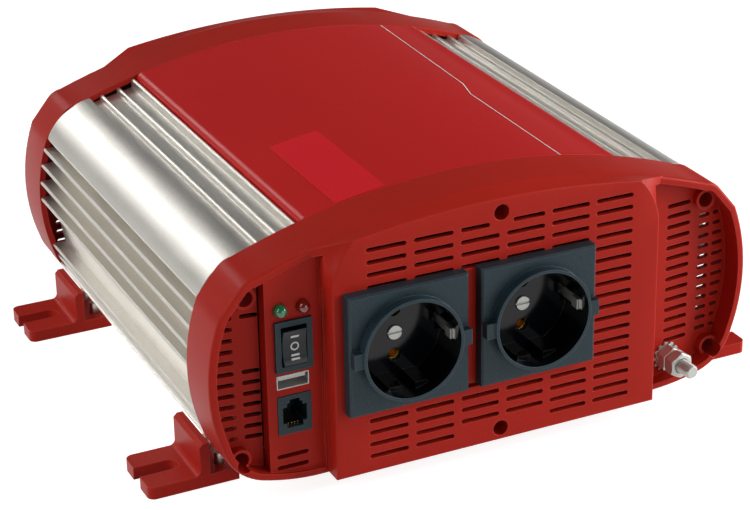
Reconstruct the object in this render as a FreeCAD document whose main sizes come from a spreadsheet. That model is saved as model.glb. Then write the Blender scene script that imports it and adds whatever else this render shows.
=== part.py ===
"""Power inverter: two finned aluminium side profiles between moulded end caps, on four slotted feet.

Millimetres, +Z up. X runs across the front, Y from front to back and Z = 0 is the underside of the
feet. The origin is under the middle of the whole object. A station is a distance behind the front
panel's face, or in front of the rear panel's face.
"""
import FreeCAD, Part
import math
import os
import re
from types import SimpleNamespace

SIZES = {
    # whole body
    "body_depth": 244.0, "collar_proud": 9.3, "guard_proud": 3.0, "foot_half": 136.0,
    # outline of the end caps, half width and height pairs
    "top_z": 112.0, "top_edge_x": 98.0, "top_edge_z": 94.3, "shoulder_x": 104.3, "shoulder_z": 90.8,
    "facet_x": 112.2, "facet_z": 81.2, "widest_x": 117.6, "widest_z": 53.6, "low_side_x": 113.2,
    "low_side_z": 26.0, "corner_x": 98.4, "corner_z": 9.9, "bottom_x": 76.0, "bottom_z": 6.2,
    # end caps
    "rim_station": 8.0, "lip_edge": 1.3, "panel_edge": 0.8, "cap_back": 31.0, "cap_wall": 2.6,
    "rim_wall": 3.1, "skin": 2.5,
    "panel_half": 70.5, "panel_low": 6.8, "panel_side_z": 86.5, "panel_top_x": 61.0, "wing_x": 78.0,
    "panel_top_z": 105.7, "panel_crown_z": 110.3, "hollow_half": 68.0, "bay_start": 71.5,
    "bay_station": 13.1, "bay_slope": 0.105, "switch_plane": 9.5, "switch_edge": 94.0,
    # screw bosses
    "boss_radius": 4.4, "boss_station": 12.5, "head_hole": 3.25, "screw_hole": 1.9,
    "high_boss_x": 100.3, "high_boss_z": 85.1, "low_boss_x": 104.7, "low_boss_z": 18.3,
    "high_mid_z": 104.5, "low_mid_z": 12.0, "head_depth": 24.0,
    # vent slots
    "slot_height": 1.9, "slot_pitch": 5.1, "slot_top": 100.4, "slot_length": 16.6,
    "column_first": 56.7, "column_pitch": 19.66, "bay_slot_pitch": 4.62, "bay_slot_top": 76.4,
    # sockets
    "plate": 50.0, "plate_proud": 5.3, "socket_left_x": -41.6, "socket_right_x": 13.9,
    "socket_z": 60.0, "collar_radius": 20.9, "cup_radius": 19.6, "cup_floor": 8.5,
    "cup_back": 25.0, "guide_chord": 16.6, "guide_gap": 2.7, "guide_reach": 8.6, "guide_station": -3.5,
    "pin_offset": 9.5, "pin_hole": 2.75, "contact_radius": 3.4,
    # switch panel fittings
    "switch_x": -83.1, "switch_z": 64.1, "bezel_width": 15.0, "bezel_height": 21.0,
    "rocker_width": 9.8, "rocker_height": 14.4, "pivot_station": 12.4, "pivot_radius": 1.2,
    "running_gap": 0.05, "lamp_z": 79.3, "green_x": -88.1, "red_x": -78.8, "lamp_radius": 2.5,
    "usb_x": -83.7, "usb_z": 49.1, "usb_width": 13.1, "usb_height": 5.7,
    "jack_x": -83.3, "jack_z": 34.9, "jack_width": 13.8, "jack_height": 16.4,
    # earth stud
    "earth_x": 84.6, "earth_z": 17.4, "earth_radius": 3.0, "earth_reach": 18.5, "nut_face": 11.6,
    "shank_relief": 0.3,
    # side profiles and covers
    "wall": 3.0, "fin": 1.8, "fin_gap": 0.2, "seam_x": 69.9, "cover_half": 69.4, "cover_wall": 2.4,
    "base_wall": 2.5,
    # feet
    "foot_width": 28.4, "foot_plate": 5.2, "foot_inner": 99.0, "foot_slot": 7.6, "foot_tip": 119.0,
    "foot_web_x": 114.8, "foot_web": 4.0, "foot_top": 19.0, "front_foot_station": 30.0,
    "rear_foot_station": 180.6, "foot_fillet": 2.5,
    # fan
    "fan_z": 58.5, "fan_size": 80.0, "fan_depth": 25.0, "fan_bore": 38.2, "blade_radius": 36.8,
    "hub_radius": 18.0, "fan_bolt": 35.75, "shaft_radius": 1.5, "wire": 1.0,
    # direct current terminals
    "terminal_x": 92.0, "terminal_z": 55.0, "terminal_width": 25.0, "terminal_height": 31.0,
    "terminal_radius": 4.0, "terminal_front": 8.6, "terminal_tip": -2.5,
    # board
    "board_z": 20.0, "board_thick": 1.6, "board_half": 94.0, "board_start": 37.0, "board_end": 206.0,
}

doc = FreeCAD.newDocument("power_inverter")
sheet = doc.addObject("Spreadsheet::Sheet", "sizes")
for row, (alias, number) in enumerate(SIZES.items(), start=1):
    sheet.set("A%d" % row, alias)
    sheet.set("B%d" % row, str(number))
    sheet.setAlias("B%d" % row, alias)
doc.recompute()
S = SimpleNamespace(**{alias: getattr(sheet, alias) for alias in SIZES})

FACE = "(0.5 * (collar_proud - guard_proud - body_depth))"
REAR = "(0.5 * (collar_proud - guard_proud + body_depth))"
TURN = {
    "x": FreeCAD.Rotation(FreeCAD.Vector(0, 1, 0), 90),
    "y": FreeCAD.Rotation(FreeCAD.Vector(1, 0, 0), -90),
    "z": FreeCAD.Rotation(),
}
PLANE = {
    "front": (FreeCAD.Rotation(FreeCAD.Vector(1, 0, 0), 90), FreeCAD.Vector(0, 1, 0), "y"),
    "top": (FreeCAD.Rotation(), FreeCAD.Vector(0, 0, 1), "z"),
    "side": (FreeCAD.Rotation(FreeCAD.Vector(1, 1, 1), 120), FreeCAD.Vector(1, 0, 0), "x"),
}
pieces = []


def formula(text):
    """Put the sheet's name before each of its aliases in a formula."""
    def named(found):
        word = found.group(0)
        return "sizes." + word if word in SIZES else word
    return re.sub(r"[a-z_][a-z_0-9]*", named, str(text))


def bind(thing, **values):
    """Bind properties of a document object to formulas over the sheet."""
    for name, text in values.items():
        thing.setExpression(name, formula(text))
    return thing


def place(thing, x="0", y="0", z="0"):
    """Bind where a document object stands."""
    for name, text in (("x", x), ("y", y), ("z", z)):
        thing.setExpression(".Placement.Base." + name, formula(text))
    return thing


def span(end, near, far):
    """Start and length along Y of what lies between two stations of one end."""
    length = "(%s) - (%s)" % (far, near)
    start = "%s + (%s)" % (FACE, near) if end == "front" else "%s - (%s)" % (REAR, far)
    return start, length


def value(text):
    """The number that a formula over the sheet gives."""
    return float(sheet.evalExpression(formula(text)))


def box(name, x, y, z, across, deep, high):
    """A block from its low corner and its three lengths."""
    solid = doc.addObject("Part::Box", name)
    bind(solid, Length=across, Width=deep, Height=high)
    return place(solid, x, y, z)


def rod(name, axis, x, y, z, radius, length):
    """A round bar along an axis."""
    solid = doc.addObject("Part::Cylinder", name)
    solid.Placement.Rotation = TURN[axis]
    bind(solid, Radius=radius, Height=length)
    return place(solid, x, y, z)


def hexagon(name, axis, x, y, z, across_flats, length):
    """A six-sided bar along an axis."""
    solid = doc.addObject("Part::Prism", name)
    solid.Polygon = 6
    solid.Placement.Rotation = TURN[axis]
    bind(solid, Circumradius="(%s) / sqrt(3)" % across_flats, Height=length)
    return place(solid, x, y, z)


def draw(name, plane, loops, level):
    """A sketch of closed loops: a start point, then lines (u, v) and arcs (u, v, through_u, through_v)."""
    sketch = doc.addObject("Sketcher::SketchObject", name)
    edges = []
    for loop in loops:
        here = FreeCAD.Vector(loop[0][0], loop[0][1], 0)
        for step in loop[1:] + loop[:1]:
            there = FreeCAD.Vector(step[0], step[1], 0)
            if len(step) == 4:
                edges.append(Part.Arc(here, FreeCAD.Vector(step[2], step[3], 0), there))
            elif (there - here).Length > 1e-6:
                edges.append(Part.LineSegment(here, there))
            here = there
    sketch.addGeometry(edges, False)
    rotation, _, letter = PLANE[plane]
    sketch.Placement.Rotation = rotation
    place(sketch, **{letter: level})
    return sketch


def extrude(name, outline, plane, length):
    """A solid pushed out of a flat outline, square to its plane."""
    solid = doc.addObject("Part::Extrusion", name)
    solid.Base = outline
    solid.DirMode = "Custom"
    solid.Dir = PLANE[plane][1]
    solid.Solid = True
    return bind(solid, LengthFwd=length)


def prism(name, plane, loops, start, length):
    """A solid with a flat outline, square to a plane."""
    return extrude(name, draw(name + "_outline", plane, loops, start), plane, length)


def fuse(name, parts):
    """One solid from several that touch."""
    whole = doc.addObject("Part::MultiFuse", name)
    whole.Shapes = parts
    return whole


def group(name, parts):
    """Several separate solids under one name."""
    whole = doc.addObject("Part::Compound", name)
    whole.Links = parts
    return whole


def cut(name, base, tools):
    """A solid with others taken out of it."""
    rest = doc.addObject("Part::Cut", name)
    rest.Base = base
    rest.Tool = tools[0] if len(tools) == 1 else group(name + "_tools", tools)
    return rest


def common(name, first, second):
    """What two solids share."""
    shared = doc.addObject("Part::Common", name)
    shared.Base = first
    shared.Tool = second
    return shared


def rounded(name, base, chosen, radius):
    """A solid with a moulded radius on the edges that a test picks."""
    doc.recompute()
    soft = doc.addObject("Part::Fillet", name)
    soft.Base = base
    numbered = enumerate(base.Shape.Edges, start=1)
    soft.Edges = [(index, radius, radius) for index, edge in numbered if chosen(edge)]
    return soft


def at_level(level):
    """A test for edges that lie in the plane across Y at a level."""
    return lambda edge: edge.BoundBox.YLength < 1e-3 and abs(edge.BoundBox.YMin - level) < 1e-3


def keep(thing, label):
    """Name a finished piece, which is written to a file of that name."""
    thing.Label = label
    pieces.append(thing)
    return thing


def slot(left, right, middle, height):
    """The outline of a slot with round ends."""
    half = height / 2
    return [
        (left + half, middle - half),
        (right - half, middle - half),
        (right - half, middle + half, right, middle),
        (left + half, middle + half),
        (left + half, middle - half, left, middle),
    ]


def mirrored(loop):
    """The same outline on the other side of the middle."""
    return [tuple(-number if i % 2 == 0 else number for i, number in enumerate(step)) for step in loop]


# ---------------------------------------------------------------- end caps
def cap_outline():
    """The section of both end caps: a crowned top, sloping shoulders, round sides and a flat base."""
    right = [
        (S.shoulder_x, S.shoulder_z, S.top_edge_x + 3.9, S.top_edge_z - 1.3),
        (S.facet_x, S.facet_z),
        (S.low_side_x, S.low_side_z, S.widest_x, S.widest_z),
        (S.corner_x, S.corner_z, S.low_side_x - 4.9, S.low_side_z - 9.4),
        (S.bottom_x, S.bottom_z, S.corner_x - 10.6, S.bottom_z + 1.2),
    ]
    left = [
        (-S.bottom_x, S.bottom_z),
        (-S.corner_x, S.corner_z, -S.corner_x + 10.6, S.bottom_z + 1.2),
        (-S.low_side_x, S.low_side_z, -S.low_side_x + 4.9, S.low_side_z - 9.4),
        (-S.facet_x, S.facet_z, -S.widest_x, S.widest_z),
        (-S.shoulder_x, S.shoulder_z),
        (-S.top_edge_x, S.top_edge_z, -S.top_edge_x - 3.9, S.top_edge_z - 1.3),
    ]
    return [(S.top_edge_x, S.top_edge_z, 0, S.top_z)] + right + left


def top_height(x):
    """Height of the cap outline's crowned top at a half width."""
    fall = S.top_z - S.top_edge_z
    radius = (S.top_edge_x ** 2 + fall ** 2) / (2 * fall)
    return S.top_z - radius + math.sqrt(radius ** 2 - x ** 2)


def side_reach(z):
    """Half width of the cap outline at a height on its round side."""
    half_chord = (S.facet_z - S.low_side_z) / 2
    rise = S.widest_x - (S.facet_x + S.low_side_x) / 2
    radius = (half_chord ** 2 + rise ** 2) / (2 * rise)
    return S.widest_x - radius + math.sqrt(radius ** 2 - (z - S.widest_z) ** 2)


def floor_station(x):
    """How far back the bay floors lie, a little further towards the sides."""
    return S.bay_station + S.bay_slope * (abs(x) - S.panel_half)


def panel_block():
    """The raised middle of the front cap, whose top corners fall back to the rim."""
    def loop(crown, top, through, side):
        return [
            (top[0], top[1], 0, crown),
            (side[0], side[1], through[0], through[1]),
            (S.panel_half, S.panel_low),
            (-S.panel_half, S.panel_low),
            (-side[0], side[1]),
            (-top[0], top[1], -through[0], through[1]),
        ]
    side = (S.panel_half, S.panel_side_z)
    tip = (S.panel_top_x, S.panel_top_z)
    face = loop(S.panel_crown_z, tip, (S.panel_half - 2.9, S.panel_side_z + 10.4), side)
    wing = (S.wing_x, top_height(S.wing_x) - 0.04)
    foot = (S.panel_half + 0.4, S.panel_side_z - 3.0)
    root = loop(S.top_z - 0.04, wing, (S.wing_x - 2.0, wing[1] - 8.0), foot)
    block = doc.addObject("Part::Loft", "panel")
    block.Sections = [
        draw("panel_face", "front", [face], FACE),
        draw("panel_root", "front", [root], FACE + " + rim_station + lip_edge + 0.2"),
    ]
    block.Solid = True
    block.Ruled = True
    return rounded("panel_soft", block, at_level(value(FACE)), S.panel_edge)


def slab(name, end, near, far, inset):
    """A slice of the cap's section between two stations, drawn in by an inset."""
    start, length = span(end, near, far)
    outline = draw(name + "_outline", "front", [cap_outline()], start)
    if inset:
        smaller = doc.addObject("Part::Offset2D", name + "_inset")
        smaller.Source = outline
        smaller.Join = 2
        bind(smaller, Value="-(%s)" % inset)
        outline = smaller
    return extrude(name, outline, "front", length)


def outer_block(end):
    """A cap's band and raised panel before anything is taken out; the rear one mirrors the front one."""
    if end == "rear":
        image = doc.addObject("Part::Mirroring", "rear_block")
        image.Source = doc.getObject("front_block")
        image.Normal = FreeCAD.Vector(0, 1, 0)
        image.Base = FreeCAD.Vector(0, value("0.5 * (%s + %s)" % (FACE, REAR)), 0)
        return image
    band = slab("band", "front", "rim_station", "cap_back", "")
    lip = at_level(value(FACE + " + rim_station"))
    return fuse("front_block", [rounded("band_soft", band, lip, S.lip_edge), panel_block()])


def plan(name, end, points):
    """A full-height block whose plan is given in half widths and stations of one end."""
    origin = value(FACE if end == "front" else REAR)
    side = 1 if end == "front" else -1
    loop = [(x, origin + side * station) for x, station in points]
    return prism(name, "top", [loop], "0", "top_z + 5")


def bay_cuts(end):
    """The recesses beside the raised panel, as deep as their sloping floors."""
    edge = S.widest_x + 6
    near = -1.0
    plain = [
        (S.bay_start, near),
        (edge, near),
        (edge, floor_station(edge)),
        (S.bay_start, floor_station(S.bay_start)),
    ]
    left = [(-x, station) for x, station in plain]
    if end == "front":
        left = [
            (-S.bay_start, near),
            (-edge, near),
            (-edge, floor_station(edge)),
            (-S.switch_edge, floor_station(S.switch_edge)),
            (-S.switch_edge, S.switch_plane),
            (-S.bay_start, S.switch_plane),
        ]
    cuts = []
    for name, points in (("right", plain), ("left", left)):
        inside = slab("%s_%s_bay_room" % (end, name), end, "-1", "cap_back", "rim_wall")
        outline = plan("%s_%s_bay_plan" % (end, name), end, points)
        cuts.append(common("%s_%s_bay" % (end, name), inside, outline))
    return cuts


def hollow(end):
    """The room inside a cap, one skin behind its outer surfaces."""
    edge = S.widest_x + 6
    back = S.cap_back + 0.2
    right = [
        (S.hollow_half, S.skin),
        (S.hollow_half, floor_station(S.hollow_half) + S.skin),
        (edge, floor_station(edge) + S.skin),
        (edge, back),
    ]
    left = [(-x, station) for x, station in reversed(right)]
    if end == "front":
        left = [
            (-edge, back),
            (-edge, floor_station(edge) + S.skin),
            (-S.switch_edge - 2.4, floor_station(S.switch_edge + 2.4) + S.skin),
            (-S.switch_edge + 2.4, S.switch_plane + S.skin),
            (-S.hollow_half - 6, S.switch_plane + S.skin),
            (-S.hollow_half, S.switch_plane + S.skin),
            (-S.hollow_half, S.skin),
        ]
    room = slab(end + "_hollow_room", end, "skin", "cap_back + 0.2", "cap_wall")
    whole = common(end + "_hollow_high", room, plan(end + "_hollow_plan", end, right + left))
    start, length = span(end, "skin - 0.1", "rim_station + 1")
    low = "panel_crown_z - 8"
    ceiling = box(end + "_hollow_ceiling", "-panel_half", start, low, "2 * panel_half", length, "10")
    solid = [ceiling]
    start, length = span(end, "skin - 0.1", "rim_station + 2.5")
    for name, x in (("left", "-panel_half"), ("right", "panel_half - 12")):
        corner = "%s_hollow_%s_corner" % (end, name)
        solid.append(box(corner, x, start, "panel_side_z - 3", "12", length, "22"))
    return cut(end + "_hollow", whole, solid)


def boss_places(end):
    """Where the cap screws go: two in each bay and two in the middle, with each boss's first station."""
    bay = str(S.boss_station)
    places = []
    for side in (-1, 1):
        places.append((side * S.high_boss_x, S.high_boss_z, bay))
        places.append((side * S.low_boss_x, S.low_boss_z, bay))
    places.append((0, S.high_mid_z, "0.5"))
    places.append((0, S.low_mid_z, "0.5"))
    return places


def panel_slots(end):
    """The rows of vent slots in the raised panel, around its sockets, screws or fan."""
    loops = []
    for column in range(6):
        left = -S.column_first + column * S.column_pitch
        right = left + S.slot_length
        for rank in range(18):
            middle = S.slot_top - rank * S.slot_pitch
            near_middle = column in (2, 3)
            if end == "front" and column < 5 and abs(middle - S.socket_z) < S.plate / 2:
                continue
            if end == "rear" and abs(middle - S.fan_z) < S.fan_size / 2 - 1:
                continue
            if near_middle and rank == 17:
                continue
            start = 5.0 if near_middle and rank == 0 and left > 0 else left
            finish = -5.0 if near_middle and rank == 0 and left < 0 else right
            loops.append(slot(start, finish, middle, S.slot_height))
    return loops


def bay_slots(end):
    """The rows of short vent slots in the bays."""
    loops = []
    for rank in range(12):
        middle = S.bay_slot_top - rank * S.bay_slot_pitch
        limit = side_reach(middle)
        beside_terminal = abs(middle - S.terminal_z) < S.terminal_height / 2 + 2
        if end == "front":
            loops.append(slot(-limit + 5.0, -104.2, middle, S.slot_height))
            loops.append(slot(107.0, max(limit - 4.4, 109.8), middle, S.slot_height))
            loops.append(slot(99.7, 105.4, middle, S.slot_height))
            if rank == 0 or rank > 4:
                loops.append(slot(-101.4, -94.4, middle, S.slot_height))
        elif not beside_terminal:
            for side in (-1, 1):
                ends = sorted((side * 83.5, side * 96.0))
                loops.append(slot(ends[0], ends[1], middle, S.slot_height))
                ends = sorted((side * 99.7, side * 108.0))
                loops.append(slot(ends[0], ends[1], middle, S.slot_height))
    if end == "front":
        for rank in range(14):
            middle = S.bay_slot_top + 1.7 * S.bay_slot_pitch - rank * S.bay_slot_pitch
            loops.append(slot(83.5, 95.3, middle, S.slot_height))
        for middle in (17.4, 12.6):
            loops.append(slot(-91.2, -78.1, middle, S.slot_height))
    return loops


def cap(end, fitting_cuts):
    """A whole end cap."""
    shell = cut(end + "_shell", outer_block(end), bay_cuts(end))
    hollowed = cut(end + "_hollowed", shell, [hollow(end)])
    posts = []
    holes = []
    for index, (x, z, first) in enumerate(boss_places(end)):
        name = "%s_boss_%d" % (end, index)
        start, length = span(end, first, "cap_back")
        posts.append(rod(name, "y", x, start, z, "boss_radius", length))
        start, length = span(end, "-1", "head_depth")
        holes.append(rod(name + "_head", "y", x, start, z, "head_hole", length))
        start, length = span(end, "head_depth - 1", "cap_back + 1")
        holes.append(rod(name + "_shank", "y", x, start, z, "screw_hole", length))
    bossed = fuse(end + "_bossed", [hollowed] + posts)
    start, length = span(end, "-1", "skin + 1")
    panel_vents = prism(end + "_panel_vents", "front", panel_slots(end), start, length)
    start, length = span(end, "rim_station", "24")
    bay_vents = prism(end + "_bay_vents", "front", bay_slots(end), start, length)
    drilled = cut(end + "_drilled", bossed, [fuse(end + "_holes", holes)])
    vented = cut(end + "_vented", drilled, [panel_vents])
    vented = cut(end + "_bay_vented", vented, [bay_vents])
    keep(cut(end + "_cap_body", vented, fitting_cuts), end + "_cap")


def front_openings():
    """The holes in the front cap for everything that is fitted through it."""
    tools = []
    for side in ("left", "right"):
        start, length = span("front", "-1", "skin + 1")
        name = side + "_socket_hole"
        tools.append(rod(name, "y", "socket_%s_x" % side, start, "socket_z", "collar_radius + 0.5", length))
    start, length = span("front", "switch_plane - 2", "switch_plane + skin + 8")
    for name, x, z, width, height in (
        ("switch_hole", "switch_x", "switch_z", "13.4", "19.4"),
        ("usb_hole", "usb_x", "usb_z", "usb_width + 0.2", "usb_height + 0.2"),
        ("jack_hole", "jack_x", "jack_z", "jack_width + 0.2", "jack_height + 0.2"),
    ):
        corner = ("%s - 0.5 * (%s)" % (x, width), "%s - 0.5 * (%s)" % (z, height))
        tools.append(box(name, corner[0], start, corner[1], width, length, height))
    for name in ("green", "red"):
        hole = rod(name + "_lamp_hole", "y", name + "_x", start, "lamp_z", "lamp_radius + 0.15", length)
        tools.append(hole)
    earth = rod("earth_hole", "y", "0", "0", "0", "earth_radius + 0.3", "14")
    set_square(earth, -7.0)
    tools.append(earth)
    return tools


def set_square(thing, depth):
    """Stand a piece square to the right bay's floor, its start this far behind the floor's surface."""
    angle = math.atan(S.bay_slope)
    lean = FreeCAD.Rotation(FreeCAD.Vector(0, 0, 1), math.degrees(angle))
    thing.Placement.Rotation = lean.multiply(thing.Placement.Rotation)
    along = "(%s)" % depth
    slope = "sqrt(1 + bay_slope ^ 2)"
    station = "(bay_station + bay_slope * (earth_x - panel_half))"
    place(
        thing,
        "earth_x - %s * bay_slope / %s" % (along, slope),
        "%s + %s + %s / %s" % (FACE, station, along, slope),
        "earth_z",
    )
    return thing


def rear_openings():
    """The holes in the rear cap for the fan and the two terminals."""
    start, length = span("rear", "-1", "skin + 1")
    tools = [rod("fan_hole", "y", "0", start, "fan_z", "fan_bore", length)]
    for index, (dx, dz) in enumerate(corners("fan_bolt")):
        tools.append(rod("fan_bolt_hole_%d" % index, "y", dx, start, "fan_z + " + dz, "2.2", length))
    start, length = span("rear", "rim_station", "cap_back - 5")
    for name, side in (("negative", "-"), ("positive", "")):
        width = "terminal_width + 0.6"
        height = "terminal_height + 0.6"
        x = "%sterminal_x - 0.5 * (%s)" % (side, width)
        z = "terminal_z - 0.5 * (%s)" % height
        tools.append(box(name + "_hole", x, start, z, width, length, height))
    return tools


def corners(reach):
    """The four corners of a square, as pairs of formulas."""
    return [("%s(%s)" % (a, reach), "%s(%s)" % (b, reach)) for a in ("-", "+") for b in ("-", "+")]


# ---------------------------------------------------------------- aluminium sides, covers and feet
def wall_reach(z):
    """Half width of the side profile's wall between its fins."""
    return side_reach(z) - 6.2


def side_profile():
    """The outer and inner outline of the right side profile, with its fins."""
    top_fins = ((71.0, 101.8), (78.0, 98.8), (86.0, 96.9))
    side_fins = (75.4, 68.3, 60.4, 52.6, 29.6, 23.9)
    half = S.fin / 2
    loop = [(S.seam_x, 92.5), (S.seam_x, 98.2)]
    for x, z in top_fins:
        groove = 98.4 - (x - S.seam_x) * 0.22
        if x - half > S.seam_x + 0.5:
            loop.append((x - half, groove))
        loop.append((max(x - half, S.seam_x), z - 0.5))
        loop.append((x, z))
        loop.append((x + half, z - 0.5))
        loop.append((x + half, groove - 0.3))
    loop.append((90.8, 93.6))
    loop.append((91.6, 96.1))
    loop.append((112.0, 80.8, 103.3, 91.3))
    loop.append((111.3, 79.2))
    loop.append((wall_reach(78.6), 78.6))
    for z in side_fins:
        tip = side_reach(z) - 0.3
        loop.append((wall_reach(z), z + half))
        loop.append((tip - 0.5, z + half))
        loop.append((tip, z))
        loop.append((tip - 0.5, z - half))
        loop.append((wall_reach(z), z - half))
    loop.append((110.9, 20.6))
    loop.append((S.corner_x, S.corner_z + 0.3, 107.0, 14.8))
    loop.append((S.bottom_x, S.bottom_z + 0.2, 87.8, 7.7))
    loop.append((S.seam_x, S.bottom_z + 0.2))
    loop.append((S.seam_x, S.bottom_z + 2.7))
    loop.append((77.0, 9.2))
    loop.append((97.6, 13.2, 87.8, 10.8))
    loop.append((wall_reach(28) - S.wall, 28, 104.3, 18.6))
    loop.append((wall_reach(74) - S.wall, 74, wall_reach(52) - S.wall, 52))
    loop.append((100.9, 87.8))
    loop.append((92.0, 91.0))
    loop.append((73.0, 95.0))
    loop.append((73.0, 92.5))
    return loop


def side_extrusion(name, side):
    """A finned side profile with the ports that the caps' screws bite into."""
    start = "%s + cap_back + fin_gap" % FACE
    length = "body_depth - 2 * (cap_back + fin_gap)"
    loop = side_profile()
    if side < 0:
        loop = mirrored(loop)
    body = prism(name + "_section", "front", [loop], start, length)
    high = rod(name + "_high_port", "y", side * S.high_boss_x, start, "high_boss_z", "3.6", length)
    low = rod(name + "_low_port", "y", side * S.low_boss_x, start, "low_boss_z", "3.4", length)
    rib = box(name + "_rib", side * (S.high_boss_x - 0.4) - 1.2, start, "high_boss_z", "2.4", length, "5")
    threads = [
        rod(name + "_high_thread", "y", side * S.high_boss_x, start, "high_boss_z", "1.7", length),
        rod(name + "_low_thread", "y", side * S.low_boss_x, start, "low_boss_z", "1.7", length),
    ]
    keep(cut(name + "_body", fuse(name + "_ports", [body, high, low, rib]), threads), name)


def covers():
    """The crowned top cover and the base plate, each with a screw port under its middle."""
    start = "%s + cap_back + fin_gap" % FACE
    length = "body_depth - 2 * (cap_back + fin_gap)"
    half = S.cover_half
    wall = S.cover_wall
    shell = [
        (half, 98.6),
        (half, 101.0),
        (half - 3.6, 104.3, half - 1.0, 103.3),
        (-half + 3.6, 104.3, 0, S.top_z),
        (-half, 101.0, -half + 1.0, 103.3),
        (-half, 98.6),
        (-half + wall, 98.6),
        (-half + wall, 100.4),
        (-half + wall + 2.4, 101.9),
        (half - wall - 2.4, 101.9, 0, S.top_z - wall),
        (half - wall, 100.4),
        (half - wall, 98.6),
    ]
    arch = prism("cover_shell", "front", [shell], start, length)
    port = rod("cover_port", "y", "0", start, "high_mid_z", "3.4", length)
    web = box("cover_web", "-1.2", start, "high_mid_z", "2.4", length, "top_z - cover_wall / 2 - high_mid_z")
    thread = rod("cover_thread", "y", "0", start, "high_mid_z", "1.7", length)
    keep(cut("cover_body", fuse("cover_whole", [arch, port, web]), [thread]), "top_cover")

    width = "2 * seam_x - 0.4"
    sheet_metal = box("base_sheet", "-seam_x + 0.2", start, "bottom_z", width, length, "base_wall")
    port = rod("base_port", "y", "0", start, "low_mid_z", "3.4", length)
    thread = rod("base_thread", "y", "0", start, "low_mid_z", "1.7", length)
    keep(cut("base_body", fuse("base_whole", [sheet_metal, port]), [thread]), "base_plate")


def foot(name, side, station):
    """A slotted foot: a plate that runs under the side profile and a web that rises beside it."""
    start = "%s + %s" % (FACE, station)
    y0 = value(start)
    y1 = y0 + S.foot_width
    middle = (y0 + y1) / 2
    half_slot = S.foot_slot / 2
    corner = 3.0
    tip = S.foot_tip + half_slot
    loop = [
        (S.foot_inner, y0),
        (S.foot_half - corner, y0),
        (S.foot_half, y0 + corner, S.foot_half - 0.3 * corner, y0 + 0.3 * corner),
        (S.foot_half, middle - half_slot),
        (tip, middle - half_slot),
        (tip, middle + half_slot, S.foot_tip, middle),
        (S.foot_half, middle + half_slot),
        (S.foot_half, y1 - corner),
        (S.foot_half - corner, y1, S.foot_half - 0.3 * corner, y1 - 0.3 * corner),
        (S.foot_inner, y1),
    ]
    web = [
        (S.foot_web_x - S.foot_web, 1.0),
        (S.foot_web_x + S.foot_fillet, 1.0),
        (S.foot_web_x + S.foot_fillet, S.foot_plate),
        (S.foot_web_x, S.foot_plate + S.foot_fillet, S.foot_web_x + 0.7, S.foot_plate + 0.7),
        (S.foot_web_x, S.foot_top - 1.5),
        (S.foot_web_x - 1.5, S.foot_top),
        (S.foot_web_x - S.foot_web, S.foot_top),
    ]
    if side < 0:
        loop = mirrored(loop)
        web = mirrored(web)
    plate = prism(name + "_plate", "top", [loop], "0", "foot_plate")
    upright = prism(name + "_web", "front", [web], start, "foot_width")
    holes = []
    for index, share in enumerate((0.25, 0.75)):
        y = "%s + %s * foot_width" % (start, share)
        x = side * 104.5
        holes.append(rod("%s_hole_%d" % (name, index), "z", x, y, "-1", "2.1", "8"))
        holes.append(rod("%s_head_%d" % (name, index), "z", x, y, "-1", "3.9", "3.6"))
    keep(cut(name + "_body", fuse(name + "_whole", [plate, upright]), [fuse(name + "_holes", holes)]), name)


def foot_places():
    """Name, side and station of each foot."""
    return [
        ("front_left_foot", -1, "front_foot_station"),
        ("front_right_foot", 1, "front_foot_station"),
        ("rear_left_foot", -1, "rear_foot_station"),
        ("rear_right_foot", 1, "rear_foot_station"),
    ]


def foot_screws():
    """The screws that hold the feet, their heads up inside the counterbores."""
    screws = []
    for name, side, station in foot_places():
        for index, share in enumerate((0.25, 0.75)):
            y = "%s + %s + %s * foot_width" % (FACE, station, share)
            x = side * 104.5
            label = "%s_screw_%d" % (name, index)
            head = rod(label + "_head", "z", x, y, "0.5", "3.6", "2.1")
            shank = rod(label + "_shank", "z", x, y, "2.5", "1.9", "7.5")
            screws.append(fuse(label, [head, shank]))
    return screws


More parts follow.
